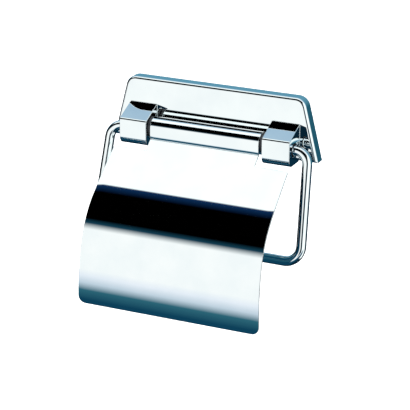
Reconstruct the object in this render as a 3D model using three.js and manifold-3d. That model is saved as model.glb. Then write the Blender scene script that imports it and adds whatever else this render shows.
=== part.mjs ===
// Toilet paper holder with a hinged cover: a wall plate with two posts, a rolled cover
// turning on a rod between the posts, and a closed wire bail that carries the roll.
// Millimetres. +X to the right, -Y out of the wall into the room, +Z up.
// The origin is the centre of the plate's height and width, on the wall face.
import * as THREE from "three";
import { mergeVertices } from "three/addons/utils/BufferGeometryUtils.js";
import Module from "manifold-3d";

const wasm = await Module();
wasm.setup();

// Clearances
const SEAT_GAP = 0.25; // between two pieces that are screwed or pressed together
const RUN_GAP = 0.2; // round a piece that turns or slides in another
const SIDE_GAP = 0.3; // end play on each side of a turning piece

// Wall plate: a hollow casting, wider at the bottom, with a rounded edge round its face
const PLATE_HEIGHT = 38;
const PLATE_TOP_MARGIN = 2.05; // from a post's outer side to the plate's side, at the top
const PLATE_BOTTOM_MARGIN = 11.6; // and at the bottom
const PLATE_DEPTH = 7.5;
const PLATE_EDGE_R = 2.2;
const PLATE_SKIN = 2;
const PLATE_RIM = 2.4;
const PLATE_CORNER_R = 7;

// Wall bracket: a steel channel inside the plate
const BRACKET_END_GAP = 6.95; // from each end of the bracket to the nearest lock washer
const BRACKET_SHEET = 1.5;
const BRACKET_SLOT_INSET = 10; // from each end of the bracket to the middle of its slot
const BRACKET_SLOT_WIDTH = 5;
const BRACKET_SLOT_LENGTH = 10;

// Posts, with their feet level with the plate's lower edge
const POST_SPAN = 109.4; // over the outer sides of both posts
const POST_WIDTH = 17.5;
const POST_REACH = 15.2; // from the plate's face to the post's front
const POST_FRONT_HEIGHT = 15.8;
const POST_TOP_RISE = 7;
const POST_BROW_R = 1.8; // between the front and the sloping top
const POST_TOE_R = 4.7; // between the front and the foot

// Screws that hold the posts from behind
const SCREW_R = 1.85;
const SCREW_LENGTH = 9;
const SCREW_HEAD_R = 2.9;
const SCREW_HEAD_H = 2;
const SCREW_SOCKET_R = 1.2;
const SCREW_SOCKET_DEPTH = 1.2;
const SCREW_TOP_WALL = 0.9; // between the upper screw's hole and the post's sloping top
const SCREW_FOOT_WALL = 3.95; // between the lower screw's hole and the post's foot
const SCREW_HOLE_END = 0.5; // past the screw's tip
const LOCK_WASHER_R = 3.1;
const LOCK_WASHER_T = 0.8;
const GRUB_R = 1.8;
const GRUB_SOCKET_R = 0.9;

// Hinge rod and cover
const ROD_R = 5.2;
const ROD_STANDOFF = 7.95; // from the plate's face to the rod's axis
const ROD_RISE = 11.15; // from the post's foot to the rod's axis
const ROD_ENTRY = 4.6;
const WASHER_T = 1.6;
const WASHER_WALL = 0.7;
const SHEET = 1;
const HEM_FRONT_LENGTH = 3.84; // straight down, from the rod's axis
const HEM_TUCK_SLOPE = 108; // degrees below level, where the hem turns in under itself
const TONGUE_BEND_R = 0.4; // and the tongue bends out again
const TONGUE_SLOPE = 40.4;
const TONGUE_LENGTH = 7.34;
const FLAP_START_LENGTH = 1.5;
const FLAP_SLOPE = 38.3; // where the flap starts
const FLAP_BOW_LENGTH = 32; // a slight bow, then the main curve, then the skirt
const FLAP_BOW_END = 42.7;
const FLAP_CURVE_LENGTH = 30;
const FLAP_CURVE_END = 76;
const FLAP_SKIRT_LENGTH = 38;
const FLAP_SKIRT_END = 93;
const FLAP_TOP_MARGIN = 1.3; // from a post's outer side to the flap's side, at the shoulder
const FLAP_BOTTOM_MARGIN = 3.4; // and at the foot
const FLAP_CORNER_R = 4.8;
const FLAP_SHOULDER_R = 1.2;
const STOP_GAP = 0.415; // from the stop lip's edge to the plate's face
const STOP_LIP_ANGLE = 45; // degrees the lip turns out of the hem

// Wire bail
const WIRE_R = 3;
const BAIL_MARGIN = 8.7; // from a post's outer side to the leg's centreline, level with the pivot
const BAIL_LENGTH = 64.5;
const BAIL_SPLAY = 2.9; // degrees each leg leans outwards
const BAIL_TILT = 15; // degrees out of the vertical at rest
const BAIL_SETBACK = 7.2; // from the post's front to the pivot's axis
const BAIL_RISE = 9.3; // from the post's foot to the pivot's axis
const BAIL_TOP_R = 8;
const BAIL_BOTTOM_R = 9.5;
const BAIL_ENTRY = 6.2;
const BUSH_WALL = 0.6;
const BUSH_END = 0.5;

// Places that follow from the sizes
const FACE_Y = -PLATE_DEPTH;
const POST_BACK_Y = FACE_Y - SEAT_GAP;
const POST_FRONT_Y = FACE_Y - POST_REACH;
const POST_OUTER_X = POST_SPAN / 2;
const PLATE_TOP_HALF = POST_OUTER_X + PLATE_TOP_MARGIN;
const PLATE_BOTTOM_HALF = POST_OUTER_X + PLATE_BOTTOM_MARGIN;
const FLAP_TOP_HALF = POST_OUTER_X + FLAP_TOP_MARGIN;
const FLAP_BOTTOM_HALF = POST_OUTER_X + FLAP_BOTTOM_MARGIN;
const BAIL_HALF = POST_OUTER_X + BAIL_MARGIN;
const POST_INNER_X = POST_OUTER_X - POST_WIDTH;
const POST_FOOT_Z = -PLATE_HEIGHT / 2;
const POST_TOP_Z = POST_FOOT_Z + POST_FRONT_HEIGHT; // at the front; the top rises from there to the plate
const SKIN_Y = FACE_Y + PLATE_SKIN;
const ROD_Y = FACE_Y - ROD_STANDOFF;
const ROD_Z = POST_FOOT_Z + ROD_RISE;
const ROD_END_X = POST_INNER_X + ROD_ENTRY;
const HEM_INNER_R = ROD_R + RUN_GAP;
const HEM_OUTER_R = HEM_INNER_R + SHEET;
const WASHER_OUTER_R = ROD_R + RUN_GAP + WASHER_WALL;
const HEM_HALF = POST_INNER_X - WASHER_T - 2 * SIDE_GAP;
const BAIL_Y = POST_FRONT_Y + BAIL_SETBACK;
const BAIL_Z = POST_FOOT_Z + BAIL_RISE;
const BUSH_INNER_R = WIRE_R + RUN_GAP;
const BUSH_OUTER_R = BUSH_INNER_R + BUSH_WALL;
const BAIL_BORE_R = BUSH_OUTER_R + RUN_GAP;
const BAIL_BORE_X = POST_OUTER_X - BAIL_ENTRY - BUSH_END;
const SCREW_X = (ROD_END_X + SIDE_GAP + BAIL_BORE_X) / 2; // in the wall between the two bores
const SCREW_HEAD_Y = SKIN_Y + LOCK_WASHER_T + 2 * SEAT_GAP; // under the head
const SCREW_HOLE_R = SCREW_R + RUN_GAP;
const SCREW_HOLE_Y = SCREW_HEAD_Y - SCREW_LENGTH - SCREW_HOLE_END;
const TOP_OVER_HOLE_Z = POST_TOP_Z + (POST_TOP_RISE * (SCREW_HOLE_Y - POST_FRONT_Y)) / POST_REACH;
const SCREW_UPPER_Z = TOP_OVER_HOLE_Z - SCREW_TOP_WALL - SCREW_HOLE_R;
const SCREW_LOWER_Z = POST_FOOT_Z + SCREW_FOOT_WALL + SCREW_HOLE_R;
const BRACKET_HALF = SCREW_X - LOCK_WASHER_R - BRACKET_END_GAP;
const GRUB_Y = -(PLATE_DEPTH - PLATE_SKIN) / 2 - 0.4; // across the bracket's lower flange
const ROUND = 28;

const steelChrome = new THREE.MeshStandardMaterial({ color: 0xdfe3e6, roughness: 0.05, metalness: 1 });
const castChrome = new THREE.MeshStandardMaterial({ color: 0xd6dbdf, roughness: 0.06, metalness: 1 });
const zincSteel = new THREE.MeshStandardMaterial({ color: 0x9aa0a3, roughness: 0.4, metalness: 1 });
const blackNylon = new THREE.MeshStandardMaterial({ color: 0x1c1d1f, roughness: 0.5, metalness: 0 });

const rad = (d) => (d * Math.PI) / 180;

// Turns a geometry into a solid that can be cut and joined.
function solid(geometry) {
  const g = geometry.clone();
  g.deleteAttribute("normal");
  g.deleteAttribute("uv");
  const merged = mergeVertices(g, 1e-4);
  return new wasm.Manifold(
    new wasm.Mesh({
      numProp: 3,
      vertProperties: new Float32Array(merged.attributes.position.array),
      triVerts: new Uint32Array(merged.index.array),
    }),
  );
}

// Turns a solid back into a geometry.
function surface(made) {
  const m = made.getMesh();
  const g = new THREE.BufferGeometry();
  const points = new Float32Array(m.numVert * 3);
  for (let i = 0; i < m.numVert; i++) {
    points.set(m.vertProperties.subarray(i * m.numProp, i * m.numProp + 3), i * 3);
  }
  g.setAttribute("position", new THREE.BufferAttribute(points, 3));
  g.setIndex(new THREE.BufferAttribute(new Uint32Array(m.triVerts), 1));
  g.computeVertexNormals();
  return g;
}

function piece(name, geometry, material) {
  const mesh = new THREE.Mesh(geometry, material);
  mesh.name = name;
  return mesh;
}

// A side profile given as (y, z) points, drawn out along X.
function alongX(points, x0, x1) {
  const g = new THREE.ExtrudeGeometry(new THREE.Shape(points), { depth: x1 - x0, bevelEnabled: false });
  g.translate(0, 0, x0);
  const turn = new THREE.Matrix4().makeBasis(
    new THREE.Vector3(0, 1, 0),
    new THREE.Vector3(0, 0, 1),
    new THREE.Vector3(1, 0, 0),
  );
  return g.applyMatrix4(turn);
}

// A front outline given as (x, z) points, drawn out from y0 towards the room to y1.
function alongY(points, y0, y1) {
  const g = new THREE.ExtrudeGeometry(new THREE.Shape(points), { depth: y0 - y1, bevelEnabled: false });
  const turn = new THREE.Matrix4().makeBasis(
    new THREE.Vector3(1, 0, 0),
    new THREE.Vector3(0, 0, 1),
    new THREE.Vector3(0, -1, 0),
  );
  g.applyMatrix4(turn);
  return g.translate(0, y0, 0);
}

function cylinderX(r, x0, x1, y, z) {
  const g = new THREE.CylinderGeometry(r, r, Math.abs(x1 - x0), ROUND);
  g.rotateZ(Math.PI / 2);
  return g.translate((x0 + x1) / 2, y, z);
}

function cylinderY(r, y0, y1, x, z, sides = ROUND) {
  const g = new THREE.CylinderGeometry(r, r, Math.abs(y1 - y0), sides);
  return g.translate(x, (y0 + y1) / 2, z);
}

function cylinderZ(r, z0, z1, x, y, sides = ROUND) {
  const g = new THREE.CylinderGeometry(r, r, Math.abs(z1 - z0), sides);
  g.rotateX(Math.PI / 2);
  return g.translate(x, y, (z0 + z1) / 2);
}

function box(x0, x1, y0, y1, z0, z1) {
  const g = new THREE.BoxGeometry(x1 - x0, y1 - y0, z1 - z0);
  return g.translate((x0 + x1) / 2, (y0 + y1) / 2, (z0 + z1) / 2);
}

// Rings of (x, z) points with the same count, each at its own y, joined into a closed solid.
function stacked(rings) {
  const n = rings[0].points.length;
  const position = [];
  const index = [];
  for (const ring of rings) {
    for (const p of ring.points) {
      position.push(p.x, ring.y, p.y);
    }
  }
  for (let k = 0; k + 1 < rings.length; k++) {
    for (let i = 0; i < n; i++) {
      const a = k * n + i;
      const b = k * n + ((i + 1) % n);
      index.push(a, b, b + n);
      index.push(a, b + n, a + n);
    }
  }
  const last = (rings.length - 1) * n;
  for (const [a, b, c] of THREE.ShapeUtils.triangulateShape(rings[0].points, [])) {
    index.push(a, c, b);
  }
  for (const [a, b, c] of THREE.ShapeUtils.triangulateShape(rings[rings.length - 1].points, [])) {
    index.push(last + a, last + b, last + c);
  }
  const g = new THREE.BufferGeometry();
  g.setAttribute("position", new THREE.Float32BufferAttribute(position, 3));
  g.setIndex(index);
  return g;
}

// The plate's trapezium, moved in by inset on every side, its top corners rounded.
function plateOutline(inset) {
  const lean = Math.atan2(PLATE_BOTTOM_HALF - PLATE_TOP_HALF, PLATE_HEIGHT);
  const side = inset / Math.cos(lean);
  const halfAt = (z) => PLATE_TOP_HALF + Math.tan(lean) * (PLATE_HEIGHT / 2 - z) - side;
  const top = PLATE_HEIGHT / 2 - inset;
  const foot = -PLATE_HEIGHT / 2 + inset;
  const r = PLATE_CORNER_R - inset;
  const centreZ = top - r;
  const centreX = halfAt(centreZ) - r / Math.cos(lean);
  const right = [new THREE.Vector2(halfAt(foot), foot)];
  const steps = 8;
  for (let i = 0; i <= steps; i++) {
    const a = lean + ((Math.PI / 2 - lean) * i) / steps;
    right.push(new THREE.Vector2(centreX + r * Math.cos(a), centreZ + r * Math.sin(a)));
  }
  const left = right.map((p) => new THREE.Vector2(-p.x, p.y)).reverse();
  return right.concat(left);
}

function screwPlaces(side) {
  return [
    { x: side * SCREW_X, z: SCREW_UPPER_Z },
    { x: side * SCREW_X, z: SCREW_LOWER_Z },
  ];
}

function makePlate() {
  const rings = [{ points: plateOutline(0), y: 0 }];
  const steps = 4;
  for (let i = 0; i <= steps; i++) {
    const a = ((Math.PI / 2) * i) / steps;
    const inset = PLATE_EDGE_R * (1 - Math.cos(a));
    rings.push({ points: plateOutline(inset), y: FACE_Y + PLATE_EDGE_R * (1 - Math.sin(a)) });
  }
  let made = solid(stacked(rings));
  made = made.subtract(solid(alongY(plateOutline(PLATE_RIM), 1, SKIN_Y)));
  for (const side of [-1, 1]) {
    for (const p of screwPlaces(side)) {
      made = made.subtract(solid(cylinderY(SCREW_R + SEAT_GAP, 0, FACE_Y - 1, p.x, p.z)));
    }
  }
  const foot = -PLATE_HEIGHT / 2;
  const bore = cylinderZ(GRUB_R + SEAT_GAP, foot - 1, foot + PLATE_RIM + 1, 0, GRUB_Y, 20);
  return surface(made.subtract(solid(bore)));
}

function slotOutline(x, width, length) {
  const r = width / 2;
  const reach = length / 2 - r;
  const points = [];
  for (let i = 0; i <= 8; i++) {
    const a = -Math.PI / 2 + (Math.PI * i) / 8;
    points.push(new THREE.Vector2(x + reach + r * Math.cos(a), r * Math.sin(a)));
  }
  for (let i = 0; i <= 8; i++) {
    const a = Math.PI / 2 + (Math.PI * i) / 8;
    points.push(new THREE.Vector2(x - reach + r * Math.cos(a), r * Math.sin(a)));
  }
  return points;
}

function makeBracket() {
  const half = PLATE_HEIGHT / 2 - PLATE_RIM - SEAT_GAP;
  const front = SKIN_Y + SEAT_GAP;
  const t = BRACKET_SHEET;
  const channel = [
    [0, -half],
    [0, half],
    [front, half],
    [front, half - t],
    [-t, half - t],
    [-t, -half + t],
    [front, -half + t],
    [front, -half],
  ].map(([y, z]) => new THREE.Vector2(y, z));
  let made = solid(alongX(channel, -BRACKET_HALF, BRACKET_HALF));
  for (const side of [-1, 1]) {
    const slotX = side * (BRACKET_HALF - BRACKET_SLOT_INSET);
    const slot = slotOutline(slotX, BRACKET_SLOT_WIDTH, BRACKET_SLOT_LENGTH);
    made = made.subtract(solid(alongY(slot, 1, -t - 1)));
  }
  return surface(made);
}

// The grub screw stands in the plate's lower rim and bears on the bracket's lower flange.
function makeGrub() {
  const foot = -PLATE_HEIGHT / 2;
  const tip = foot + PLATE_RIM;
  const body = solid(cylinderZ(GRUB_R, foot + 0.3, tip, 0, GRUB_Y, 20));
  return surface(body.subtract(solid(cylinderZ(GRUB_SOCKET_R, foot - 1, foot + 1.4, 0, GRUB_Y, 6))));
}

// The post's side profile: upright front, rounded brow and toe, level foot, top rising to the plate.
function postProfile() {
  const foot = POST_FOOT_Z;
  const top = POST_TOP_Z;
  const slope = Math.atan2(POST_TOP_RISE, POST_REACH);
  const points = [new THREE.Vector2(POST_BACK_Y, foot)];
  points.push(new THREE.Vector2(POST_BACK_Y, top + POST_TOP_RISE - SEAT_GAP * Math.tan(slope)));
  const arc = (r, centreZ, from, to, steps) => {
    for (let i = 0; i <= steps; i++) {
      const a = from + ((to - from) * i) / steps;
      points.push(new THREE.Vector2(POST_FRONT_Y + r + r * Math.cos(a), centreZ + r * Math.sin(a)));
    }
  };
  const tangent = POST_BROW_R * Math.tan((Math.PI / 2 - slope) / 2);
  arc(POST_BROW_R, top - tangent, Math.PI / 2 + slope, Math.PI, 4);
  arc(POST_TOE_R, foot + POST_TOE_R, Math.PI, 1.5 * Math.PI, 6);
  return points.reverse();
}

function makePost(side) {
  const [x0, x1] = side < 0 ? [-POST_OUTER_X, -POST_INNER_X] : [POST_INNER_X, POST_OUTER_X];
  let made = solid(alongX(postProfile(), x0, x1));
  const rodBore = cylinderX(
    ROD_R + RUN_GAP,
    side * (POST_INNER_X - 1),
    side * (ROD_END_X + SIDE_GAP),
    ROD_Y,
    ROD_Z,
  );
  const bailBore = cylinderX(BAIL_BORE_R, side * BAIL_BORE_X, side * (POST_OUTER_X + 1), BAIL_Y, BAIL_Z);
  made = made.subtract(solid(rodBore)).subtract(solid(bailBore));
  for (const p of screwPlaces(side)) {
    made = made.subtract(solid(cylinderY(SCREW_HOLE_R, SCREW_HOLE_Y, POST_BACK_Y + 1, p.x, p.z)));
  }
  return surface(made);
}

function makeScrew(place) {
  const under = SCREW_HEAD_Y;
  const head = solid(cylinderY(SCREW_HEAD_R, under, under + SCREW_HEAD_H, place.x, place.z));
  const shank = solid(cylinderY(SCREW_R, under - SCREW_LENGTH, under + 0.5, place.x, place.z, 20));
  const top = under + SCREW_HEAD_H;
  const socket = cylinderY(SCREW_SOCKET_R, top - SCREW_SOCKET_DEPTH, top + 1, place.x, place.z, 6);
  return surface(head.add(shank).subtract(solid(socket)));
}

// A spring washer: a flat ring with one narrow split.
function makeLockWasher(place) {
  const y0 = SKIN_Y + SEAT_GAP;
  const ring = solid(cylinderY(LOCK_WASHER_R, y0, y0 + LOCK_WASHER_T, place.x, place.z));
  const hole = solid(cylinderY(SCREW_R + SEAT_GAP, y0 - 1, y0 + LOCK_WASHER_T + 1, place.x, place.z));
  const splitTop = place.z + LOCK_WASHER_R + 1;
  const split = solid(box(place.x - 0.4, place.x + 0.4, y0 - 1, y0 + 2, place.z, splitTop));
  return surface(ring.subtract(hole).subtract(split));
}

function makeRod() {
  return cylinderX(ROD_R, -ROD_END_X, ROD_END_X, ROD_Y, ROD_Z);
}

function makeThrustWasher(side) {
  const x0 = side * (HEM_HALF + SIDE_GAP);
  const x1 = side * (HEM_HALF + SIDE_GAP + WASHER_T);
  const ring = solid(cylinderX(WASHER_OUTER_R, x0, x1, ROD_Y, ROD_Z));
  return surface(ring.subtract(solid(cylinderX(ROD_R + RUN_GAP, x0 - side, x1 + side, ROD_Y, ROD_Z))));
}

// The cover's outer face as (y, z) points, from the stop lip behind the rod, over the rod,
// down the hem's front and in under it, then out and down along the tongue and the flap.
// The flap's shoulders stand where the tongue ends.
function coverPath() {
  const points = [];
  const put = (y, z) => points.push(new THREE.Vector2(y, z));
  const lip = rad(STOP_LIP_ANGLE);
  const hemBack = new THREE.Vector2(ROD_Y + HEM_OUTER_R, ROD_Z - 1.2);
  const reach = ROD_STANDOFF - HEM_OUTER_R - STOP_GAP;
  put(hemBack.x + reach, hemBack.y - reach / Math.tan(lip));
  put(hemBack.x, hemBack.y);
  const turns = 18;
  for (let i = 0; i <= turns; i++) {
    const a = (Math.PI * i) / turns;
    put(ROD_Y + HEM_OUTER_R * Math.cos(a), ROD_Z + HEM_OUTER_R * Math.sin(a));
  }
  let { x: y, y: z } = points[points.length - 1];
  let slope = 90;
  const run = (length, end, steps) => {
    for (let i = 0; i < steps; i++) {
      const mid = rad(slope + ((end - slope) * (i + 0.5)) / steps);
      y -= (Math.cos(mid) * length) / steps;
      z -= (Math.sin(mid) * length) / steps;
      put(y, z);
    }
    slope = end;
  };
  run(HEM_FRONT_LENGTH, 90, 1);
  run(HEM_OUTER_R * rad(HEM_TUCK_SLOPE - 90), HEM_TUCK_SLOPE, 4);
  run(TONGUE_BEND_R * rad(HEM_TUCK_SLOPE - TONGUE_SLOPE), TONGUE_SLOPE, 6);
  run(TONGUE_LENGTH, TONGUE_SLOPE, 1);
  const shoulderZ = z;
  run(FLAP_START_LENGTH, FLAP_SLOPE, 1);
  run(FLAP_BOW_LENGTH, FLAP_BOW_END, 4);
  run(FLAP_CURVE_LENGTH, FLAP_CURVE_END, 10);
  run(FLAP_SKIRT_LENGTH, FLAP_SKIRT_END, 7);
  return { points, shoulderZ };
}

// The sheet's side profile: the outer face, and the same line moved in by the sheet's thickness.
function sheetProfile(path) {
  const inner = path.map((p, i) => {
    const before = i > 0 ? p.clone().sub(path[i - 1]).normalize() : null;
    const after = i + 1 < path.length ? path[i + 1].clone().sub(p).normalize() : null;
    const n1 = before ? new THREE.Vector2(-before.y, before.x) : null;
    const n2 = after ? new THREE.Vector2(-after.y, after.x) : null;
    const mean = (n1 && n2 ? n1.clone().add(n2) : (n1 || n2).clone()).normalize();
    const reach = SHEET / mean.dot(n1 || n2);
    return p.clone().addScaledVector(mean, reach);
  });
  return path.concat(inner.reverse());
}

// The cover seen from the front: a narrow tongue between the posts and a wide flap below them.
function coverOutline(topZ, shoulderZ, footZ) {
  const half = FLAP_TOP_HALF;
  const footHalf = FLAP_BOTTOM_HALF;
  const right = [];
  const arc = (cx, cz, r, from, to, steps) => {
    for (let i = 0; i <= steps; i++) {
      const a = rad(from + ((to - from) * i) / steps);
      right.push(new THREE.Vector2(cx + r * Math.cos(a), cz + r * Math.sin(a)));
    }
  };
  arc(footHalf - FLAP_CORNER_R, footZ + FLAP_CORNER_R, FLAP_CORNER_R, -90, 0, 6);
  arc(half - FLAP_SHOULDER_R, shoulderZ - FLAP_SHOULDER_R, FLAP_SHOULDER_R, 0, 90, 3);
  arc(HEM_HALF + FLAP_SHOULDER_R, shoulderZ + FLAP_SHOULDER_R, FLAP_SHOULDER_R, 270, 180, 3);
  right.push(new THREE.Vector2(HEM_HALF, topZ));
  const left = right.map((p) => new THREE.Vector2(-p.x, p.y)).reverse();
  return right.concat(left);
}

function makeCover() {
  const { points: path, shoulderZ } = coverPath();
  const foot = Math.min(...path.map((p) => p.y));
  const sheet = solid(alongX(sheetProfile(path), -2 * FLAP_BOTTOM_HALF, 2 * FLAP_BOTTOM_HALF));
  const outline = coverOutline(ROD_Z + HEM_OUTER_R + 5, shoulderZ, foot);
  const depth = Math.min(...path.map((p) => p.x)) - 5;
  return surface(sheet.intersect(solid(alongY(outline, 5, depth))));
}

// A path through stations, which an extrusion visits one by one.
class StationPath extends THREE.Curve {
  constructor(stations) {
    super();
    this.stations = stations;
  }
  getPoint(t) {
    const s = t * (this.stations.length - 1);
    const i = Math.min(Math.floor(s + 1e-6), this.stations.length - 2);
    return this.stations[i].clone().lerp(this.stations[i + 1], s - i);
  }
  getPointAt(u) {
    return this.getPoint(u);
  }
  getTangentAt(u) {
    const i = Math.round(u * (this.stations.length - 1));
    const before = this.stations[Math.max(i - 1, 0)];
    const after = this.stations[Math.min(i + 1, this.stations.length - 1)];
    const here = this.stations[i];
    const t = new THREE.Vector3();
    if (i > 0) {
      t.add(here.clone().sub(before).normalize());
    }
    if (i + 1 < this.stations.length) {
      t.add(after.clone().sub(here).normalize());
    }
    return t.normalize();
  }
}

// A corner of the wire, rounded with radius r, as points from one straight to the next.
function roundedCorner(before, corner, after, r, steps) {
  const a = before.clone().sub(corner).normalize();
  const b = after.clone().sub(corner).normalize();
  const half = a.angleTo(b) / 2;
  const centre = a.clone().add(b).normalize().multiplyScalar(r / Math.sin(half)).add(corner);
  const start = a.clone().multiplyScalar(r / Math.tan(half)).add(corner).sub(centre);
  const end = b.clone().multiplyScalar(r / Math.tan(half)).add(corner).sub(centre);
  const axis = start.clone().cross(end).normalize();
  const sweep = start.angleTo(end);
  const points = [];
  for (let i = 0; i <= steps; i++) {
    points.push(start.clone().applyAxisAngle(axis, (sweep * i) / steps).add(centre));
  }
  return points;
}

// The bail: in at one post, down a leg, across and up the other leg, in at the other post.
function bailStations() {
  const tilt = rad(BAIL_TILT);
  const down = new THREE.Vector3(0, -Math.sin(tilt), -Math.cos(tilt));
  const pivot = new THREE.Vector3(0, BAIL_Y, BAIL_Z);
  const at = (x, drop) => pivot.clone().add(new THREE.Vector3(x, 0, 0)).addScaledVector(down, drop);
  const endX = POST_OUTER_X - BAIL_ENTRY;
  const topX = BAIL_HALF;
  const footX = topX + BAIL_LENGTH * Math.tan(rad(BAIL_SPLAY));
  const right = [
    at(endX, 0),
    ...roundedCorner(at(endX, 0), at(topX, 0), at(footX, BAIL_LENGTH), BAIL_TOP_R, 7),
    ...roundedCorner(at(topX, 0), at(footX, BAIL_LENGTH), at(0, BAIL_LENGTH), BAIL_BOTTOM_R, 8),
  ];
  const left = right.map((p) => new THREE.Vector3(-p.x, p.y, p.z)).reverse();
  return right.concat(left);
}

function makeBail() {
  const stations = bailStations();
  const ring = new THREE.Shape();
  const sides = 18;
  for (let i = 0; i < sides; i++) {
    const a = (2 * Math.PI * i) / sides;
    const x = WIRE_R * Math.cos(a);
    const y = WIRE_R * Math.sin(a);
    if (i === 0) {
      ring.moveTo(x, y);
    } else {
      ring.lineTo(x, y);
    }
  }
  ring.closePath();
  return new THREE.ExtrudeGeometry(ring, {
    steps: stations.length - 1,
    extrudePath: new StationPath(stations),
    bevelEnabled: false,
  });
}

function makeBush(side) {
  const x0 = side * (BAIL_BORE_X + 0.2);
  const x1 = side * (POST_OUTER_X - 0.2);
  const ring = solid(cylinderX(BUSH_OUTER_R, x0, x1, BAIL_Y, BAIL_Z));
  return surface(ring.subtract(solid(cylinderX(BUSH_INNER_R, x0 - side, x1 + side, BAIL_Y, BAIL_Z))));
}

const group = new THREE.Group();
group.name = "toilet_paper_holder";
group.add(piece("wall_plate", makePlate(), castChrome));
group.add(piece("wall_bracket", makeBracket(), zincSteel));
group.add(piece("grub_screw", makeGrub(), zincSteel));
for (const [tag, side] of [["left", -1], ["right", 1]]) {
  group.add(piece(`post_${tag}`, makePost(side), castChrome));
  const places = screwPlaces(side);
  for (const [level, place] of [["upper", places[0]], ["lower", places[1]]]) {
    group.add(piece(`post_screw_${tag}_${level}`, makeScrew(place), zincSteel));
    group.add(piece(`lock_washer_${tag}_${level}`, makeLockWasher(place), zincSteel));
  }
  group.add(piece(`thrust_washer_${tag}`, makeThrustWasher(side), blackNylon));
  group.add(piece(`bail_bush_${tag}`, makeBush(side), blackNylon));
}
group.add(piece("hinge_rod", makeRod(), zincSteel));
group.add(piece("cover", makeCover(), steelChrome));
group.add(piece("bail", makeBail(), steelChrome));

export default group;
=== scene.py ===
"""Looks of a chrome toilet paper holder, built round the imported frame.

The visible shapes are rebuilt finer than the frame's solids, at the same places: a plate and posts with
rounded edges, a smooth rolled cover, a swept wire, turned and threaded fittings. Everything is in metres
in the frame's own axes: +X right, -Y out of the wall into the room, +Z up.
"""

import math

import bmesh
import bpy
from mathutils import Matrix, Vector


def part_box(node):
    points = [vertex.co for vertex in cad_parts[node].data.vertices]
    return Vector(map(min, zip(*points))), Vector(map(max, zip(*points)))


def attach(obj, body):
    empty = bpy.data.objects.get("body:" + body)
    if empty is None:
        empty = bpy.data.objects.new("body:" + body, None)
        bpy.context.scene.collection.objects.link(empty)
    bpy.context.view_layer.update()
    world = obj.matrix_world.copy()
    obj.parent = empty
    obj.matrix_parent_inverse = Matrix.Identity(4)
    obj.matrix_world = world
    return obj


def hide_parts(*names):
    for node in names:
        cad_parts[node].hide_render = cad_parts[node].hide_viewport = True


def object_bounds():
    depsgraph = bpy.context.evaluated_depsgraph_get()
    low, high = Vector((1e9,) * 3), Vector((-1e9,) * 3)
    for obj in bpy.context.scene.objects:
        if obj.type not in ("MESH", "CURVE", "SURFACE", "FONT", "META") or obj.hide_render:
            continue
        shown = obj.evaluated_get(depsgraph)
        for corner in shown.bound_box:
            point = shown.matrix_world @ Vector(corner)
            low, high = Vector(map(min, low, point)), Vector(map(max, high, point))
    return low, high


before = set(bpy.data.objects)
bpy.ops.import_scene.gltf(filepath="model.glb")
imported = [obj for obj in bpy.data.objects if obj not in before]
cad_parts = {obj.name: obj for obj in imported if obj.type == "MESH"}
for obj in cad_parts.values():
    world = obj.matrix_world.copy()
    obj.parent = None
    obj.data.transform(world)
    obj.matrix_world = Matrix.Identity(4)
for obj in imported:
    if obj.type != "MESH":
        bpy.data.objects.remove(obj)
cad_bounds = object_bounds()
MM = 0.001
SIDES = (("left", -1), ("right", 1))
LEVELS = ("upper", "lower")


# ---------------------------------------------------------------- places, read from the frame

def middle(node):
    lo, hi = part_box(node)
    return (lo + hi) / 2


def size(node):
    lo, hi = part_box(node)
    return hi - lo


PLATE_LO, PLATE_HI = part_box("wall_plate")
POST_LO, POST_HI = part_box("post_right")
ROD = middle("hinge_rod")
ROD_R = size("hinge_rod").y / 2
BUSH_LO, BUSH_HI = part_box("bail_bush_right")
COVER_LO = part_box("cover")[0]
BAIL_PIVOT = middle("bail_bush_right")
FACE_Y = PLATE_LO.y
RUN_GAP = 0.2 * MM  # round a rod or a bush in its bore
SIDE_GAP = 0.3 * MM  # end play beside a turning piece


# ---------------------------------------------------------------- mesh helpers

def mesh_piece(name, verts, faces):
    mesh = bpy.data.meshes.new(name)
    mesh.from_pydata([tuple(v) for v in verts], [], faces)
    mesh.validate()
    made = bpy.data.objects.new(name, mesh)
    bpy.context.scene.collection.objects.link(made)
    return made


def bake_modifiers(piece):
    bpy.context.view_layer.update()
    seen = piece.evaluated_get(bpy.context.evaluated_depsgraph_get())
    made = bpy.data.meshes.new_from_object(seen)
    piece.modifiers.clear()
    piece.data = made
    return piece


def cut(piece, cutter):
    step = piece.modifiers.new("cut", "BOOLEAN")
    step.operation = "DIFFERENCE"
    step.solver = "EXACT"
    step.object = cutter
    bake_modifiers(piece)
    bpy.data.objects.remove(cutter)
    return piece


def round_edges(piece, width, angle=50, segments=3):
    step = piece.modifiers.new("round", "BEVEL")
    step.width = width
    step.segments = segments
    step.limit_method = "ANGLE"
    step.angle_limit = math.radians(angle)
    step.use_clamp_overlap = False
    return bake_modifiers(piece)


def smooth(piece, sharp=35):
    """Smooth shading that keeps flat faces flat, with edges over the angle left sharp."""
    mesh = piece.data
    mesh.shade_smooth()
    mesh.set_sharp_from_angle(angle=math.radians(sharp))
    step = piece.modifiers.new("flat_faces", "WEIGHTED_NORMAL")
    step.keep_sharp = True
    step.weight = 100
    return bake_modifiers(piece)


def finish_piece(piece, material, body, slot, *nodes):
    piece.data.materials.clear()
    piece.data.materials.append(material)
    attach(piece, body)
    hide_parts(*nodes)
    return piece


def arc(cx, cz, r, start, end, steps):
    """Points of an arc, angles in degrees, both ends included."""
    made = []
    for i in range(steps + 1):
        a = math.radians(start + (end - start) * i / steps)
        made.append((cx + r * math.cos(a), cz + r * math.sin(a)))
    return made


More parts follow.
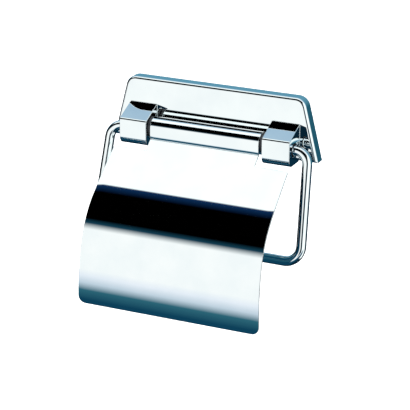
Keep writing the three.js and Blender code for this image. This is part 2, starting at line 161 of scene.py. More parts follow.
def lofted(name, rings, capped=True):
    """Rings of 3-D points with one count, joined in order; the first and last are closed with a face."""
    count = len(rings[0])
    verts = [p for ring in rings for p in ring]
    faces = []
    for k in range(len(rings) - 1):
        for i in range(count):
            a = k * count + i
            b = k * count + (i + 1) % count
            faces.append((a, b, b + count, a + count))
    if capped:
        faces.append(tuple(reversed(range(count))))
        faces.append(tuple(range((len(rings) - 1) * count, len(rings) * count)))
    return face_outwards(mesh_piece(name, verts, faces))


def face_outwards(piece):
    work = bmesh.new()
    work.from_mesh(piece.data)
    bmesh.ops.recalc_face_normals(work, faces=work.faces)
    work.to_mesh(piece.data)
    work.free()
    return piece


def turned(name, profile, centre, axis, sides=64):
    """A closed loop of (radius, along) points turned about an axis; points on the axis become poles."""
    turn = Vector((0, 0, 1)).rotation_difference(Vector(axis)).to_matrix()
    verts, faces, rows = [], [], []
    for radius, along in profile:
        if radius < 1e-9:
            rows.append([len(verts)] * sides)
            verts.append(Vector(centre) + turn @ Vector((0, 0, along)))
            continue
        rows.append(list(range(len(verts), len(verts) + sides)))
        for i in range(sides):
            a = 2 * math.pi * i / sides
            spoke = Vector((radius * math.cos(a), radius * math.sin(a), along))
            verts.append(Vector(centre) + turn @ spoke)
    on_axis = profile[0][0] < 1e-9
    pairs = list(zip(rows, rows[1:])) + ([] if on_axis else [(rows[-1], rows[0])])
    for low, high in pairs:
        for i in range(sides):
            j = (i + 1) % sides
            corners = []
            for v in (low[i], low[j], high[j], high[i]):
                if v not in corners:
                    corners.append(v)
            if len(corners) > 2:
                faces.append(corners)
    return face_outwards(mesh_piece(name, verts, faces))


def chamfered_loop(inner, outer, start, end, chamfer):
    """The section of a ring with small chamfers at its four corners."""
    c = chamfer
    return [
        (inner, start + c), (inner + c, start), (outer - c, start), (outer, start + c),
        (outer, end - c), (outer - c, end), (inner + c, end), (inner, end - c),
    ]


def chamfered_rod(radius, start, end, chamfer):
    return [
        (0, start), (radius - chamfer, start), (radius, start + chamfer),
        (radius, end - chamfer), (radius - chamfer, end), (0, end),
    ]


def swept(name, stations, plane_normal, radius, sides=48):
    """A round wire along stations that all lie in one plane."""
    rings = []
    normal = Vector(plane_normal).normalized()
    for i, here in enumerate(stations):
        ahead = stations[min(i + 1, len(stations) - 1)]
        behind = stations[max(i - 1, 0)]
        along = (ahead - behind).normalized()
        across = normal.cross(along)
        ring = []
        for k in range(sides):
            a = 2 * math.pi * k / sides
            ring.append(here + radius * (math.cos(a) * across + math.sin(a) * normal))
        rings.append(ring)
    return lofted(name, rings)


def hex_prism(name, radius, centre, axis, length):
    return turned(name, [(0, 0), (radius, 0), (radius, length), (0, length)], centre, axis, sides=6)


# ---------------------------------------------------------------- materials

def srgb(text, alpha=1.0):
    def linear(c):
        return c / 12.92 if c <= 0.04045 else ((c + 0.055) / 1.055) ** 2.4
    return tuple(linear(int(text[i:i + 2], 16) / 255) for i in (0, 2, 4)) + (alpha,)


class Shader:
    """A node material with short ways to add and join nodes."""

    def __init__(self, name, metallic, coat=0.0):
        self.material = bpy.data.materials.new(name)
        self.material.use_nodes = True
        self.nodes = self.material.node_tree.nodes
        self.links = self.material.node_tree.links
        self.bsdf = self.nodes["Principled BSDF"]
        self.bsdf.inputs["Metallic"].default_value = metallic
        self.bsdf.inputs["Coat Weight"].default_value = coat
        self.place = self.nodes.new("ShaderNodeTexCoord").outputs["Object"]

    def noise(self, scale, detail=3.0, stretch=(1, 1, 1), rough=0.5):
        spread = self.nodes.new("ShaderNodeMapping")
        spread.inputs["Scale"].default_value = stretch
        self.links.new(self.place, spread.inputs["Vector"])
        made = self.nodes.new("ShaderNodeTexNoise")
        made.inputs["Scale"].default_value = scale
        made.inputs["Detail"].default_value = detail
        made.inputs["Roughness"].default_value = rough
        self.links.new(spread.outputs["Vector"], made.inputs["Vector"])
        return made.outputs["Fac"]

    def speckle(self, scale):
        made = self.nodes.new("ShaderNodeTexVoronoi")
        made.inputs["Scale"].default_value = scale
        self.links.new(self.place, made.inputs["Vector"])
        return made.outputs["Distance"]

    def spread(self, value, low, high, to_low, to_high):
        made = self.nodes.new("ShaderNodeMapRange")
        made.inputs["From Min"].default_value = low
        made.inputs["From Max"].default_value = high
        made.inputs["To Min"].default_value = to_low
        made.inputs["To Max"].default_value = to_high
        self.links.new(value, made.inputs["Value"])
        return made.outputs["Result"]

    def tint(self, value, dark, light):
        made = self.nodes.new("ShaderNodeMix")
        made.data_type = "RGBA"
        made.inputs["A"].default_value = srgb(dark)
        made.inputs["B"].default_value = srgb(light)
        self.links.new(value, made.inputs["Factor"])
        self.links.new(made.outputs["Result"], self.bsdf.inputs["Base Color"])

    def add(self, a, b):
        made = self.nodes.new("ShaderNodeMath")
        made.operation = "ADD"
        self.links.new(a, made.inputs[0])
        self.links.new(b, made.inputs[1])
        return made.outputs["Value"]

    def rough(self, value):
        self.links.new(value, self.bsdf.inputs["Roughness"])

    def bump(self, value, distance, strength=1.0):
        made = self.nodes.new("ShaderNodeBump")
        made.inputs["Strength"].default_value = strength
        made.inputs["Distance"].default_value = distance
        self.links.new(value, made.inputs["Height"])
        self.links.new(made.outputs["Normal"], self.bsdf.inputs["Normal"])


def chrome(name, dark, light, gloss, haze, waviness, stretch=(1, 1, 1)):
    """Polished plating: a faint haze in the gloss, a trace of colour, and the metal's slight waviness."""
    made = Shader(name, metallic=1.0)
    film = made.noise(60, detail=4.0)
    fine = made.noise(900, detail=3.0, stretch=stretch)
    made.tint(made.spread(film, 0.35, 0.65, 0.0, 1.0), dark, light)
    base = made.spread(film, 0.3, 0.7, gloss, gloss + haze / 2)
    grain = made.spread(fine, 0.3, 0.7, 0.0, haze / 2)
    made.rough(made.add(base, grain))
    made.bump(made.noise(45, detail=1.0, stretch=stretch), waviness)
    return made.material


def zinc_plate():
    """Zinc-plated steel: a pale, slightly yellow passivation in soft crystals."""
    made = Shader("zinc_steel", metallic=1.0)
    crystals = made.speckle(700)
    film = made.noise(220, detail=5.0)
    made.tint(made.spread(film, 0.3, 0.7, 0.0, 1.0), "8f959a", "c9ccc8")
    made.rough(made.spread(crystals, 0.0, 0.9, 0.24, 0.42))
    made.bump(made.add(made.noise(2600, detail=2.0), crystals), 0.004 * MM)
    return made.material


def nylon():
    """Moulded black nylon with a fine eroded grain."""
    made = Shader("black_nylon", metallic=0.0)
    grain = made.noise(3500, detail=2.0)
    made.tint(made.spread(made.noise(400, detail=4.0), 0.3, 0.7, 0.0, 1.0), "0d0e10", "24262a")
    made.rough(made.spread(grain, 0.3, 0.7, 0.38, 0.56))
    made.bump(grain, 0.02 * MM)
    return made.material


CAST = chrome("cast_chrome", "f2f6f7", "f8fbfb", gloss=0.006, haze=0.012, waviness=0.0006 * MM)
SHEET = chrome(
    "sheet_chrome", "f3f7f8", "f9fbfb", gloss=0.008, haze=0.012, waviness=0.0006 * MM, stretch=(0.4, 1, 1),
)
WIRE = chrome("wire_chrome", "f1f5f6", "f8fbfb", gloss=0.01, haze=0.02, waviness=0.0004 * MM)
ZINC = zinc_plate()
NYLON = nylon()


# ---------------------------------------------------------------- wall plate

PLATE_TOP_HALF = 56.75 * MM
PLATE_CORNER_R = 7.0 * MM
PLATE_ROUND = 2.2 * MM
PLATE_SKIN = 2.0 * MM
PLATE_RIM = 2.4 * MM
PLATE_FOOT_R = 0.4 * MM
POCKET_ROUND = 0.6 * MM
BACK_ROUND = 0.25 * MM
PLATE_HOLE_R = 2.1 * MM
GRUB_HOLE_R = 2.05 * MM
GRUB_MOUTH_R = 2.6 * MM


def plate_outline(inset, y):
    """The trapezium moved in by inset on every side, its top corners rounded, as 3-D points at y."""
    height = PLATE_HI.z - PLATE_LO.z
    lean = math.atan2(PLATE_HI.x - PLATE_TOP_HALF, height)
    def half_at(z):
        return PLATE_TOP_HALF + math.tan(lean) * (PLATE_HI.z - z) - inset / math.cos(lean)
    foot = PLATE_LO.z + inset
    r = PLATE_CORNER_R - inset
    cz = PLATE_HI.z - inset - r
    cx = half_at(cz) - r / math.cos(lean)
    fx = half_at(foot + PLATE_FOOT_R) - PLATE_FOOT_R / math.cos(lean)
    right = arc(fx, foot + PLATE_FOOT_R, PLATE_FOOT_R, -90, math.degrees(lean), 10)
    right += arc(cx, cz, r, math.degrees(lean), 90, 28)
    left = [(-x, z) for x, z in reversed(right)]
    return [Vector((x, y, z)) for x, z in right + left]


def make_plate():
    skin_y = FACE_Y + PLATE_SKIN
    rings = []
    steps = 16
    for i in range(steps + 1):
        a = math.pi / 2 * i / steps
        inset = PLATE_ROUND * (1 - math.sin(a))
        rings.append(plate_outline(inset, FACE_Y + PLATE_ROUND * (1 - math.cos(a))))
    for i in range(4):
        a = math.pi / 2 * i / 3
        rings.append(plate_outline(BACK_ROUND * (1 - math.cos(a)), -BACK_ROUND * (1 - math.sin(a))))
    for i in range(4):
        a = math.pi / 2 * i / 3
        inset = PLATE_RIM - BACK_ROUND * (1 - math.sin(a))
        rings.append(plate_outline(inset, -BACK_ROUND * (1 - math.cos(a))))
    for i in range(5):
        a = math.pi / 2 * i / 4
        inset = PLATE_RIM + POCKET_ROUND * (1 - math.cos(a))
        rings.append(plate_outline(inset, skin_y + POCKET_ROUND * (1 - math.sin(a))))
    plate = lofted("plate", rings)
    for tag, _ in SIDES:
        for level in LEVELS:
            spot = middle(f"post_screw_{tag}_{level}")
            start = Vector((spot.x, skin_y + MM, spot.z))
            cut(plate, turned("hole", chamfered_rod(PLATE_HOLE_R, 0, 5 * MM, 0.01 * MM), start, (0, -1, 0)))
    grub = middle("grub_screw")
    start = Vector((grub.x, grub.y, PLATE_LO.z - MM))
    mouth = [
        (0, 0), (GRUB_MOUTH_R, 0), (GRUB_MOUTH_R, 0.7 * MM),
        (GRUB_HOLE_R, 1.3 * MM), (GRUB_HOLE_R, 4 * MM), (0, 4 * MM),
    ]
    cut(plate, turned("hole", mouth, start, (0, 0, 1)))
    smooth(plate)
    finish_piece(plate, CAST, "base", "cast_chrome", "wall_plate")


# ---------------------------------------------------------------- posts

POST_FRONT_HEIGHT = 15.8 * MM
POST_TOP_RISE = 7.0 * MM
POST_REACH = 15.2 * MM
POST_TOE_R = 4.7 * MM
POST_BROW_R = 1.8 * MM
POST_SIDE_ROUND = 0.35 * MM
POST_HOLE_R = 2.05 * MM
BORE_FLARE = 0.3 * MM


def post_profile():
    """Side profile as (y, z): up the back, down the sloping top, round the brow, the front and the toe."""
    slope = math.atan2(POST_TOP_RISE, POST_REACH)
    front = POST_LO.y
    brow_z = POST_LO.z + POST_FRONT_HEIGHT
    turn = math.pi / 2 - slope
    tangent = POST_BROW_R * math.tan(turn / 2)
    centre = (front + POST_BROW_R, brow_z - tangent)
    points = [(POST_HI.y, POST_LO.z), (POST_HI.y, POST_HI.z)]
    points += arc(centre[0], centre[1], POST_BROW_R, 90 + math.degrees(slope), 180, 20)
    points += arc(front + POST_TOE_R, POST_LO.z + POST_TOE_R, POST_TOE_R, 180, 270, 40)
    return points


def make_post(tag, side):
    lo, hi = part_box(f"post_{tag}")
    ends = [[Vector((x, y, z)) for y, z in post_profile()] for x in (lo.x, hi.x)]
    post = lofted(f"post_{tag}_cast", ends)
    round_edges(post, POST_SIDE_ROUND, angle=60, segments=4)
    inner, outer = (hi.x, lo.x) if side < 0 else (lo.x, hi.x)
    rod_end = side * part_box("hinge_rod")[1].x
    for radius, mouth, bottom, spot in (
        (ROD_R + RUN_GAP, inner, rod_end + side * SIDE_GAP, ROD),
        (BUSH_HI.z - BAIL_PIVOT.z + RUN_GAP, outer, side * (BUSH_LO.x - RUN_GAP), BAIL_PIVOT),
    ):
        depth = abs(bottom - mouth)
        out = 1 if bottom < mouth else -1
        shape = [
            (0, 0), (radius, 0), (radius, depth - BORE_FLARE),
            (radius + BORE_FLARE, depth), (radius + BORE_FLARE, depth + MM), (0, depth + MM),
        ]
        cut(post, turned("bore", shape, Vector((bottom, spot.y, spot.z)), (out, 0, 0)))
    for level in LEVELS:
        screw_lo, screw_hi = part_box(f"post_screw_{tag}_{level}")
        spot = (screw_lo + screw_hi) / 2
        tip = Vector((spot.x, screw_lo.y - 0.5 * MM, spot.z))
        length = POST_HI.y - tip.y + MM
        drill = chamfered_rod(POST_HOLE_R, 0, length, 0.01 * MM)
        cut(post, turned("hole", drill, tip, (0, 1, 0), sides=40))
    smooth(post)
    finish_piece(post, CAST, "base", "cast_chrome", f"post_{tag}")


# ---------------------------------------------------------------- cover

SHEET_T = 1.0 * MM
HEM_FRONT_LENGTH = 3.84 * MM
HEM_TUCK_SLOPE = 108.0
TONGUE_BEND_R = 0.4 * MM
TONGUE_SLOPE = 40.4
TONGUE_LENGTH = 7.34 * MM
FLAP_SLOPE = 38.3
FLAP_START = 1.5 * MM
FLAP_BOW_LENGTH = 32.0 * MM
FLAP_BOW_END = 42.7
FLAP_CURVE_LENGTH = 30.0 * MM
FLAP_CURVE_END = 76.0
FLAP_SKIRT_LENGTH = 38.0 * MM
FLAP_SKIRT_END = 93.0
FLAP_TOP_HALF = 56.0 * MM
FLAP_FOOT_HALF = 58.1 * MM
FLAP_CORNER_R = 4.8 * MM
FLAP_SHOULDER_R = 1.2 * MM
STOP_GAP = 0.415 * MM
STOP_LIP_ANGLE = 45.0
HEM_BACK_DROP = 1.2 * MM
EDGE_ROUND = 0.25 * MM
HEM_R = ROD_R + RUN_GAP + SHEET_T
HEM_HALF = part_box("thrust_washer_right")[0].x - SIDE_GAP


def cover_path():
    """The outer face's side line as rows of (y, z), and the rows where the shoulder and corner start."""
    back_y = ROD.y + HEM_R
    reach = FACE_Y - STOP_GAP - back_y
    lip = math.radians(STOP_LIP_ANGLE)
    rows = []
    for i in range(5):
        t = 1 - i / 5
        rows.append((back_y + reach * t, ROD.z - HEM_BACK_DROP - reach * t / math.tan(lip)))
    rows.append((back_y, ROD.z - HEM_BACK_DROP))
    rows += arc(ROD.y, ROD.z, HEM_R, 0, 180, 72)
    state = {"y": rows[-1][0], "z": rows[-1][1], "slope": 90.0}

    def run(length, end, steps):
        for i in range(steps):
            here = math.radians(state["slope"] + (end - state["slope"]) * (i + 0.5) / steps)
            state["y"] -= math.cos(here) * length / steps
            state["z"] -= math.sin(here) * length / steps
            rows.append((state["y"], state["z"]))
        state["slope"] = end

    run(HEM_FRONT_LENGTH, 90.0, 4)
    run(HEM_R * math.radians(HEM_TUCK_SLOPE - 90.0), HEM_TUCK_SLOPE, 20)
    run(TONGUE_BEND_R * math.radians(HEM_TUCK_SLOPE - TONGUE_SLOPE), TONGUE_SLOPE, 16)
    run(TONGUE_LENGTH - FLAP_SHOULDER_R, TONGUE_SLOPE, 6)
    shoulder = len(rows) - 1
    run(FLAP_SHOULDER_R * 2, TONGUE_SLOPE, 16)
    run(FLAP_START, FLAP_SLOPE, 6)
    run(FLAP_BOW_LENGTH - FLAP_SHOULDER_R, FLAP_BOW_END, 30)
    run(FLAP_CURVE_LENGTH, FLAP_CURVE_END, 50)
    run(FLAP_SKIRT_LENGTH - FLAP_CORNER_R, FLAP_SKIRT_END - 2.0, 32)
    corner = len(rows) - 1
    run(FLAP_CORNER_R, FLAP_SKIRT_END, 16)
    return rows, shoulder, corner


def cover_half_widths(rows, shoulder, corner):
    """Half the sheet's width at each row: the hem, the shoulder's two fillets, the flap, the corner."""
    walked = [0.0]
    for (y0, z0), (y1, z1) in zip(rows, rows[1:]):
        walked.append(walked[-1] + math.hypot(y1 - y0, z1 - z0))
    start = walked[shoulder]
    foot_from = walked[corner]
    r = FLAP_SHOULDER_R
    long = walked[-1] - start - r
    made = []
    for s in walked:
        flap = FLAP_TOP_HALF + (FLAP_FOOT_HALF - FLAP_TOP_HALF) * max(0.0, s - start - r) / long
        if s <= start:
            made.append(HEM_HALF)
        elif s <= start + r:
            made.append(HEM_HALF + r - math.sqrt(max(0.0, r * r - (s - start) ** 2)))
        elif s <= start + 2 * r:
            made.append(FLAP_TOP_HALF - r + math.sqrt(max(0.0, r * r - (start + 2 * r - s) ** 2)))
        elif s <= foot_from:
            made.append(flap)
        else:
            up = s - foot_from
            made.append(flap - FLAP_CORNER_R + math.sqrt(max(0.0, FLAP_CORNER_R ** 2 - up * up)))
    return made


def make_cover():
    rows, shoulder, corner = cover_path()
    halves = cover_half_widths(rows, shoulder, corner)
    columns = 28
    verts, faces = [], []
    for (y, z), half in zip(rows, halves):
        for k in range(columns + 1):
            verts.append((half * (2 * k / columns - 1), y, z))
    wide = columns + 1
    for i in range(len(rows) - 1):
        for k in range(columns):
            a = i * wide + k
            faces.append((a, a + wide, a + wide + 1, a + 1))
    cover = mesh_piece("rolled_cover", verts, faces)
    step = cover.modifiers.new("thickness", "SOLIDIFY")
    step.thickness = SHEET_T
    step.offset = -1
    step.use_even_offset = True
    bake_modifiers(cover)
    face_outwards(cover)
    round_edges(cover, EDGE_ROUND, angle=60, segments=3)
    smooth(cover, sharp=50)
    finish_piece(cover, SHEET, "cover_body", "sheet_chrome", "cover")


# ---------------------------------------------------------------- bail

BAIL_LENGTH = 64.5 * MM
BAIL_SPLAY = 2.9
BAIL_TILT = 15.0
BAIL_MARGIN = 8.7 * MM
BAIL_ENTRY = 6.2 * MM
BAIL_TOP_R = 8.0 * MM
BAIL_BOTTOM_R = 9.5 * MM
WIRE_R = 3.0 * MM
WIRE_INSET = 0.03 * MM  # keeps the round wire within its faceted box


def wire_corner(before, corner, after, radius, steps):
    """Points of the arc that rounds a corner of the wire."""
    a = (before - corner).normalized()
    b = (after - corner).normalized()
    half = a.angle(b) / 2
    centre = corner + (a + b).normalized() * (radius / math.sin(half))
    start = corner + a * (radius / math.tan(half)) - centre
    end = corner + b * (radius / math.tan(half)) - centre
    axis = start.cross(end).normalized()
    sweep = start.angle(end)
    return [centre + Matrix.Rotation(sweep * i / steps, 3, axis) @ start for i in range(steps + 1)]


def make_bail():
    tilt = math.radians(BAIL_TILT)
    down = Vector((0, -math.sin(tilt), -math.cos(tilt)))
    pivot = Vector((0, BAIL_PIVOT.y, BAIL_PIVOT.z))

    def at(x, drop):
        return pivot + Vector((x, 0, 0)) + down * drop

    end_x = POST_HI.x - BAIL_ENTRY
    top_x = POST_HI.x + BAIL_MARGIN
    foot_x = top_x + BAIL_LENGTH * math.tan(math.radians(BAIL_SPLAY))
    right = [at(end_x, 0), at(end_x + MM, 0)]
    right += wire_corner(at(end_x, 0), at(top_x, 0), at(foot_x, BAIL_LENGTH), BAIL_TOP_R, 24)
    right += wire_corner(at(top_x, 0), at(foot_x, BAIL_LENGTH), at(0, BAIL_LENGTH), BAIL_BOTTOM_R, 28)
    left = [Vector((-p.x, p.y, p.z)) for p in reversed(right)]
    across = Vector((1, 0, 0)).cross(down)
    bail = swept("wire_bail", right + left, across, WIRE_R - WIRE_INSET, sides=64)
    round_edges(bail, 0.4 * MM, angle=60, segments=3)
    smooth(bail)
    finish_piece(bail, WIRE, "bail_body", "wire_chrome", "bail")


# ---------------------------------------------------------------- fittings

THREAD_PITCH = 0.7 * MM
THREAD_DEPTH = 0.22 * MM
SCREW_HEAD_H = 2.0 * MM
SCREW_HEAD_BEVEL = 0.35 * MM
SCREW_SHANK_R = 1.85 * MM
SCREW_SOCKET_R = 1.35 * MM
LOCK_WASHER_INNER_R = 2.15 * MM
LOCK_WASHER_RISE = 0.1 * MM
LOCK_WASHER_GAP = 14.0  # degrees of the turn that the split takes
LOCK_WASHER_CHAMFER = 0.12 * MM
GRUB_SOCKET_R = 0.95 * MM


def make_rod():
    half = size("hinge_rod").x / 2
    rod = turned("turned_rod", chamfered_rod(ROD_R, -half, half, 0.5 * MM), ROD, (1, 0, 0))
    smooth(rod)
    finish_piece(rod, ZINC, "base", "zinc_steel", "hinge_rod")


def make_ring(name, node, inner, chamfer):
    """A moulded nylon washer or bush."""
    lo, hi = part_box(node)
    spot = (lo + hi) / 2
    half = (hi.x - lo.x) / 2
    ring = turned(name, chamfered_loop(inner, (hi.z - lo.z) / 2, -half, half, chamfer), spot, (1, 0, 0))
    smooth(ring)
    finish_piece(ring, NYLON, "base", "black_nylon", node)


def thread_rows(radius, start, end, sides):
    """Rows of a right-hand thread along +Z, one list of points for each step of the length."""
    steps = max(2, round((end - start) / THREAD_PITCH * 8))
    rows = []
    for i in range(steps + 1):
        along = start + (end - start) * i / steps
        fade = min(1.0, (along - start) / THREAD_PITCH, (end - along) / THREAD_PITCH)
        row = []
        for k in range(sides):
            a = 2 * math.pi * k / sides
            wave = 0.5 + 0.5 * math.cos(2 * math.pi * along / THREAD_PITCH - a)
            r = radius - THREAD_DEPTH * wave * fade
            row.append(Vector((r * math.cos(a), r * math.sin(a), along)))
        rows.append(row)
    return rows


def make_screw(name, node):
    """A socket screw along -Y: a chamfered head towards the wall and a threaded shank into the post."""
    lo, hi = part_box(node)
    spot = (lo + hi) / 2
    head_r = (hi.z - lo.z) / 2
    head_h = SCREW_HEAD_H
    shank_r = SCREW_SHANK_R
    length = hi.y - lo.y
    sides = 48
    turn = Vector((0, 0, 1)).rotation_difference(Vector((0, -1, 0))).to_matrix()
    origin = Vector((spot.x, hi.y, spot.z))

    def ring(radius, along):
        return [
            Vector((radius * math.cos(a), radius * math.sin(a), along))
            for a in (2 * math.pi * k / sides for k in range(sides))
        ]

    bevel = SCREW_HEAD_BEVEL
    rows = [ring(head_r - bevel, 0), ring(head_r, bevel), ring(head_r, head_h - bevel / 2)]
    rows += [ring(head_r - bevel / 2, head_h), ring(shank_r, head_h)]
    rows += thread_rows(shank_r, head_h + 0.2 * MM, length - 0.5 * MM, sides)
    rows.append(ring(shank_r - 0.5 * MM, length))
    placed = [[origin + turn @ p for p in row] for row in rows]
    screw = lofted(name, placed)
    socket = hex_prism("socket", SCREW_SOCKET_R, origin + Vector((0, MM, 0)), (0, -1, 0), 2.3 * MM)
    cut(screw, socket)
    smooth(screw)
    finish_piece(screw, ZINC, "base", "zinc_steel", node)


def make_lock_washer(name, node):
    """A split spring washer: a square section round almost a full turn, with a slight rise at the split."""
    lo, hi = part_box(node)
    spot = (lo + hi) / 2
    outer = (hi.z - lo.z) / 2
    rise = LOCK_WASHER_RISE
    half = (hi.y - lo.y) / 2 - rise / 2
    gap = math.radians(LOCK_WASHER_GAP)
    section = chamfered_loop(LOCK_WASHER_INNER_R, outer, -half, half, LOCK_WASHER_CHAMFER)
    steps = 56
    rings = []
    for i in range(steps + 1):
        t = i / steps
        a = math.pi / 2 + gap / 2 + (2 * math.pi - gap) * t
        lift = rise * (t - 0.5)
        rings.append([spot + Vector((r * math.cos(a), y + lift, r * math.sin(a))) for r, y in section])
    washer = lofted(name, rings)
    smooth(washer)
    finish_piece(washer, ZINC, "base", "zinc_steel", node)


def make_grub():
    lo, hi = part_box("grub_screw")
    spot = (lo + hi) / 2
    sides = 40
    radius = (hi.x - lo.x) / 2
    height = hi.z - lo.z
    origin = Vector((spot.x, spot.y, lo.z))
    foot = [Vector((0.8 * p.x, 0.8 * p.y, 0)) for p in thread_rows(radius, 0, height, sides)[0]]
    rows = [foot] + thread_rows(radius, 0.2 * MM, height - 0.3 * MM, sides)
    rows.append([Vector((0.7 * p.x, 0.7 * p.y, height)) for p in thread_rows(radius, 0, height, sides)[0]])
    grub = lofted("threaded_grub", [[origin + p for p in row] for row in rows])
    cut(grub, hex_prism("socket", GRUB_SOCKET_R, origin - Vector((0, 0, MM)), (0, 0, 1), 2.2 * MM))
    smooth(grub)
    finish_piece(grub, ZINC, "base", "zinc_steel", "grub_screw")


BRACKET_T = 1.5 * MM
BRACKET_BEND = 0.7 * MM
SLOT_INSET = 10.0 * MM
SLOT_HALF_WIDTH = 2.5 * MM
SLOT_HALF_STRAIGHT = 2.5 * MM


def make_bracket():
    """The channel: a web on the wall and two flanges with bent corners, and a slot at each end."""
    lo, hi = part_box("wall_bracket")
    outer = BRACKET_BEND + BRACKET_T
    back = hi.y
    upper = [(lo.y, hi.z)]
    upper += arc(back - outer, hi.z - outer, outer, 90, 0, 8)
    lower = [(y, -z) for y, z in reversed(upper)]
    inside_low = [(lo.y, lo.z + BRACKET_T)]
    inside_low += arc(back - outer, lo.z + outer, BRACKET_BEND, 270, 360, 6)
    inside_high = [(y, -z) for y, z in reversed(inside_low)]
    profile = upper + lower + inside_low + inside_high
    bracket = lofted("bent_bracket", [[Vector((x, y, z)) for y, z in profile] for x in (lo.x, hi.x)])
    round_edges(bracket, 0.15 * MM, angle=60, segments=2)
    for side in (-1, 1):
        cx = side * (hi.x - SLOT_INSET)
        outline = arc(cx + SLOT_HALF_STRAIGHT, 0, SLOT_HALF_WIDTH, -90, 90, 16)
        outline += arc(cx - SLOT_HALF_STRAIGHT, 0, SLOT_HALF_WIDTH, 90, 270, 16)
        cutter = lofted("slot", [[Vector((x, y, z)) for x, z in outline] for y in (MM, -3 * MM)])
        cut(bracket, cutter)
    smooth(bracket)
    finish_piece(bracket, ZINC, "base", "zinc_steel", "wall_bracket")


make_plate()
make_bracket()
make_grub()
for tag, side in SIDES:
    make_post(tag, side)
    for level in LEVELS:
        make_screw(f"socket_screw_{tag}_{level}", f"post_screw_{tag}_{level}")
        make_lock_washer(f"spring_washer_{tag}_{level}", f"lock_washer_{tag}_{level}")
    make_ring(f"spacer_{tag}", f"thrust_washer_{tag}", ROD_R + RUN_GAP, chamfer=0.25 * MM)
    make_ring(f"bush_{tag}", f"bail_bush_{tag}", WIRE_R + RUN_GAP, chamfer=0.15 * MM)
make_rod()
make_cover()
make_bail()


# ---------------------------------------------------------------- studio

# Plain colours chosen for the tent and its flag, from light to dark.
OVERHEAD = "f6ffff"
LOW_FRONT = "ecf0f0"
PALE = "dde4ec"
SILVER = "b8c8d4"
HAZE = "94b2c8"
BEHIND = "5a8fa6"
TEAL = "2a6070"
DEEP = "0c3c54"
DUSK = "123a4c"
NAVY = "0c2a50"
NIGHT = "071f2e"
INK = "000000"
GLOW = 1.17  # strength of everything that the chrome mirrors


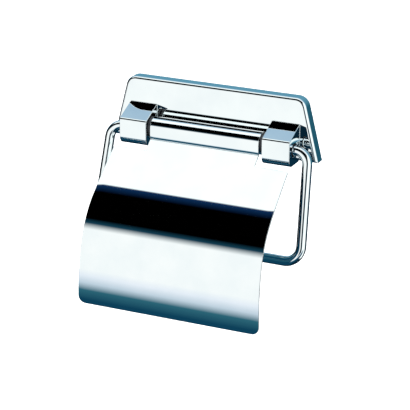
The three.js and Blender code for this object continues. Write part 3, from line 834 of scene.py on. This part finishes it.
def studio_world():
    """A light tent: white overhead and low in front, a dark band between, blue-grey behind and below."""
    world = bpy.data.worlds.new("studio")
    bpy.context.scene.world = world
    world.use_nodes = True
    nodes = world.node_tree.nodes
    links = world.node_tree.links
    nodes.clear()

    def math_node(kind, a, b=None):
        made = nodes.new("ShaderNodeMath")
        made.operation = kind
        for socket, value in zip(made.inputs, (a, b)):
            if isinstance(value, (int, float)):
                socket.default_value = value
            elif value is not None:
                links.new(value, socket)
        return made.outputs["Value"]

    def ramp(degrees, sections):
        """Colours over the turn in degrees. Each section has a table of its own, so a short one is sharp."""
        result = None
        for stops in sections:
            start, end = stops[0][0], stops[-1][0]
            made = nodes.new("ShaderNodeValToRGB")
            part_way = math_node("DIVIDE", math_node("SUBTRACT", degrees, start), end - start)
            links.new(part_way, made.inputs["Fac"])
            elements = made.color_ramp.elements
            elements.remove(elements[-1])
            for i, (at, colour) in enumerate(stops):
                place = (at - start) / (end - start)
                element = elements[0] if i == 0 else elements.new(place)
                element.position = place
                element.color = srgb(colour)
            if result is None:
                result = made.outputs["Color"]
            else:
                result = blend(math_node("GREATER_THAN", degrees, start), result, made.outputs["Color"])
        return result

    def between(value, low, high, at_low=0.0, at_high=1.0):
        made = nodes.new("ShaderNodeMapRange")
        made.interpolation_type = "SMOOTHSTEP"
        made.inputs["From Min"].default_value = low
        made.inputs["From Max"].default_value = high
        made.inputs["To Min"].default_value = at_low
        made.inputs["To Max"].default_value = at_high
        links.new(value, made.inputs["Value"])
        return made.outputs["Result"]

    def blend(factor, a, b):
        made = nodes.new("ShaderNodeMix")
        made.data_type = "RGBA"
        links.new(factor, made.inputs["Factor"])
        for socket, value in ((made.inputs["A"], a), (made.inputs["B"], b)):
            if isinstance(value, str):
                socket.default_value = srgb(value)
            else:
                links.new(value, socket)
        return made.outputs["Result"]

    way = nodes.new("ShaderNodeTexCoord").outputs["Generated"]
    split = nodes.new("ShaderNodeSeparateXYZ")
    links.new(way, split.inputs["Vector"])
    x, y, z = split.outputs
    height = math_node("ARCTAN2", z, math_node("MULTIPLY", y, -1.0))
    turn = math_node("DEGREES", height)
    front = ramp(turn, [
        [(-180, BEHIND), (-165, TEAL), (-150, DEEP), (-110, NIGHT), (-60, DEEP), (-44, DEEP),
         (-38, PALE), (-24, LOW_FRONT), (14, LOW_FRONT)],
        [(14, LOW_FRONT), (21.5, LOW_FRONT), (30, DUSK), (36, INK), (44, INK)],
        [(44, INK), (68, INK)],
        [(68, INK), (73, INK), (74.6, NAVY), (74.9, OVERHEAD), (78, OVERHEAD)],
        [(78, OVERHEAD), (101, OVERHEAD), (112, HAZE), (150, BEHIND), (180, BEHIND)],
    ])
    flank = ramp(turn, [
        [(-180, TEAL), (-165, DEEP), (-158, NIGHT), (-50, NIGHT), (20, NIGHT), (34, INK), (70, INK),
         (80, PALE), (100, OVERHEAD), (112, HAZE), (150, BEHIND), (180, TEAL)],
    ])
    right = between(x, 0.0, 0.22)
    window = math_node("MULTIPLY", between(x, 0.58, 0.68), between(y, 0.15, 0.4, 1.0, 0.0))
    far_left = math_node("MULTIPLY", between(x, -0.88, -0.76, 1.0, 0.0), between(y, 0.2, 0.6, 1.0, 0.0))
    tent = blend(right, front, flank)
    tent = blend(window, tent, OVERHEAD)
    tent = blend(far_left, tent, INK)
    seen = nodes.new("ShaderNodeBackground")
    links.new(tent, seen.inputs["Color"])
    seen.inputs["Strength"].default_value = GLOW
    backdrop = nodes.new("ShaderNodeBackground")
    backdrop.inputs["Color"].default_value = srgb("ffffff")
    backdrop.inputs["Strength"].default_value = 1.1
    pick = nodes.new("ShaderNodeMixShader")
    ray = nodes.new("ShaderNodeLightPath")
    links.new(ray.outputs["Is Glossy Ray"], pick.inputs["Fac"])
    links.new(backdrop.outputs["Background"], pick.inputs[1])
    links.new(seen.outputs["Background"], pick.inputs[2])
    out = nodes.new("ShaderNodeOutputWorld")
    links.new(pick.outputs["Shader"], out.inputs["Surface"])


def floor():
    """A plain pale floor well below the holder. The chrome doesn't mirror it, only the tent."""
    drop = 0.45
    radius = 3.0
    sides = 64
    turns = [2 * math.pi * k / sides for k in range(sides)]
    verts = [(radius * math.cos(a), radius * math.sin(a), 0) for a in turns]
    made = mesh_piece("floor", verts, [tuple(range(sides))])
    made.location.z = cad_bounds[0].z - drop
    paint = Shader("pale_floor", metallic=0.0)
    paint.tint(paint.noise(6.0), "f6f7f7", "fbfbfb")
    paint.bsdf.inputs["Roughness"].default_value = 0.9
    made.data.materials.append(paint.material)
    made.visible_glossy = False


def flag():
    """A dark flag low in front. Only the chrome mirrors it, in the surfaces that turn downwards."""
    top = COVER_LO.z - 0.032
    fade = 0.117
    y = COVER_LO.y - 0.27
    verts = [(-1.2, y, top - 0.45), (1.2, y, top - 0.45), (1.2, y, top), (-1.2, y, top)]
    made = mesh_piece("flag", verts, [(0, 1, 2, 3)])
    paint = bpy.data.materials.new("flag")
    paint.use_nodes = True
    nodes, links = paint.node_tree.nodes, paint.node_tree.links
    nodes.clear()
    place = nodes.new("ShaderNodeTexCoord").outputs["Object"]
    split = nodes.new("ShaderNodeSeparateXYZ")
    links.new(place, split.inputs["Vector"])
    fall = nodes.new("ShaderNodeMapRange")
    fall.inputs["From Min"].default_value = top - fade
    fall.inputs["From Max"].default_value = top
    links.new(split.outputs["Z"], fall.inputs["Value"])
    ramp = nodes.new("ShaderNodeValToRGB")
    links.new(fall.outputs["Result"], ramp.inputs["Fac"])
    stops = [(0.0, DEEP), (0.34, TEAL), (0.58, SILVER), (0.8, PALE), (1.0, LOW_FRONT)]
    elements = ramp.color_ramp.elements
    elements.remove(elements[-1])
    for i, (place_at, colour) in enumerate(stops):
        element = elements[0] if i == 0 else elements.new(place_at)
        element.position = place_at
        element.color = srgb(colour)
    glow = nodes.new("ShaderNodeEmission")
    links.new(ramp.outputs["Color"], glow.inputs["Color"])
    glow.inputs["Strength"].default_value = GLOW
    out = nodes.new("ShaderNodeOutputMaterial")
    links.new(glow.outputs["Emission"], out.inputs["Surface"])
    made.data.materials.append(paint)
    made.visible_camera = False
    made.visible_diffuse = False
    made.visible_shadow = False
    made.visible_transmission = False


def soft_light():
    """One broad lamp overhead for the floor and the matt parts; the chrome mirrors only the tent."""
    data = bpy.data.lights.new("overhead", "AREA")
    data.shape = "DISK"
    data.size = 2.4
    data.energy = 110
    lamp = bpy.data.objects.new("overhead", data)
    lamp.location = (-0.3, -0.5, 2.0)
    lamp.rotation_euler = (Vector((0, 0, 0)) - lamp.location).to_track_quat("-Z", "Y").to_euler()
    lamp.visible_glossy = False
    bpy.context.scene.collection.objects.link(lamp)


def camera():
    """Right of the holder and above it, at the distance of a product shot."""
    azimuth = math.radians(24.74)
    elevation = math.radians(19.9)
    roll = math.radians(0.31)
    distance = 1.2
    target = Vector((-5.41 * MM, FACE_Y, -55.33 * MM))
    back = Vector((
        math.sin(azimuth) * math.cos(elevation),
        -math.cos(azimuth) * math.cos(elevation),
        math.sin(elevation),
    ))
    data = bpy.data.cameras.new("camera")
    data.sensor_width = 36.0
    data.lens = 175.65
    data.clip_start = 0.05
    data.clip_end = 50.0
    made = bpy.data.objects.new("camera", data)
    aim = (-back).to_track_quat("-Z", "Y").to_matrix()
    made.matrix_world = Matrix.Translation(target + back * distance) @ (
        aim @ Matrix.Rotation(roll, 3, "Z")
    ).to_4x4()
    bpy.context.scene.collection.objects.link(made)
    bpy.context.scene.camera = made


studio_world()
floor()
flag()
soft_light()
camera()
bpy.context.scene.view_settings.view_transform = "Standard"
